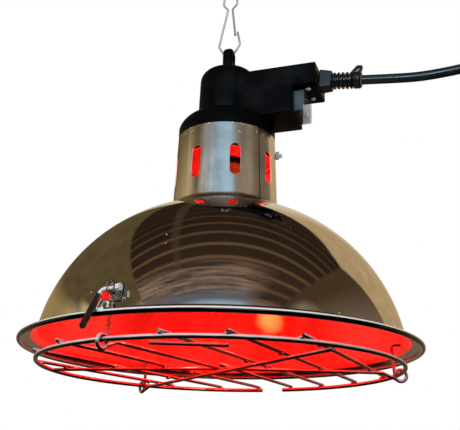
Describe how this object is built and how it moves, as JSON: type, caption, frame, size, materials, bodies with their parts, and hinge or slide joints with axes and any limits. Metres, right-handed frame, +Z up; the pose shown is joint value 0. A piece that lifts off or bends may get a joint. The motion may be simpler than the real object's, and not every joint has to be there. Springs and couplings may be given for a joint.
{
  "type": "infrared heat lamp",
  "caption": "Hanging infrared heat lamp: polished bowl shade on a slotted neck, black head with a side switch box and cord, wire guard with a side latch, and a spring-gate hook.",
  "frame": {"origin": "inside top of the snap hook's eye, where the lamp hangs", "axes": "+Z up along the lamp's axis, +X towards the switch box and the cord"},
  "size_m": [0.5612, 0.3667, 0.3918],
  "materials": {
    "bright_wire": "bright plated wire",
    "black_moulding": "satin moulded black",
    "polished_sheet": "polished, spun",
    "zinc_steel": "zinc plated",
    "white_ceramic": "glazed ceramic",
    "brass_sheet": "pressed brass",
    "red_glass": "red pressed glass",
    "clear_soft": "clear soft plastic",
    "black_gloss": "gloss moulded black",
    "black_rubber": "matte rubber"
  },
  "bodies": {
    "hook": {"snap_hook": "bright_wire"},
    "lamp": {"head_housing": "black_moulding", "box_cover": "black_moulding", "neck_collar": "black_moulding", "neck": "polished_sheet", "reflector": "polished_sheet", "neck_screws": "zinc_steel", "neck_nuts": "zinc_steel", "lampholder_plate": "zinc_steel", "holder_screws": "zinc_steel", "lampholder": "white_ceramic", "screw_shell": "brass_sheet", "centre_contact": "brass_sheet", "bulb_glass": "red_glass", "bulb_base": "brass_sheet", "bulb_contact": "brass_sheet", "switch_housing": "black_moulding", "switch_terminals": "brass_sheet", "switch_boot": "clear_soft", "cord_clamp": "black_moulding", "clamp_screws": "zinc_steel", "cord_tail": "black_rubber", "strain_relief": "black_rubber", "cord": "black_rubber", "cord_coil": "black_rubber", "coil_tie": "black_moulding", "plug_body": "black_rubber", "plug_pins": "brass_sheet", "guard_ring": "bright_wire", "guard_spokes": "bright_wire", "guard_cross_wires": "bright_wire", "guard_hangers": "bright_wire", "latch_link": "bright_wire", "latch_bracket": "zinc_steel", "latch_rivets": "zinc_steel"},
    "gate": {"hook_gate": "bright_wire"},
    "rocker_body": {"rocker": "black_gloss"},
    "latch": {"latch_lever": "bright_wire", "latch_grip": "black_rubber", "latch_nut": "zinc_steel"}
  },
  "joints": [
    {"name": "lamp_swing", "type": "hinge", "parent": "hook", "child": "lamp", "pos_m": [0, 0, -0.0674], "axis": [1, 0, 0], "range_deg": [-45, 45]},
    {"name": "gate_open", "type": "hinge", "parent": "hook", "child": "gate", "pos_m": [0.0024, 0, -0.0154], "axis": [0, 1, 0], "range_deg": [0, 20], "stiffness_Nm_per_rad": 0.05, "springref_deg": -5.73},
    {"name": "rocker_tilt", "type": "hinge", "parent": "lamp", "child": "rocker_body", "pos_m": [0.07, 0, -0.1378], "axis": [0, 0, 1], "range_deg": [-16, 0]},
    {"name": "latch_lift", "type": "hinge", "parent": "lamp", "child": "latch", "pos_m": [-0.03646, -0.15791, -0.34572], "axis": [-0.9744, 0.225, 0], "range_deg": [0, 40]}
  ]
}
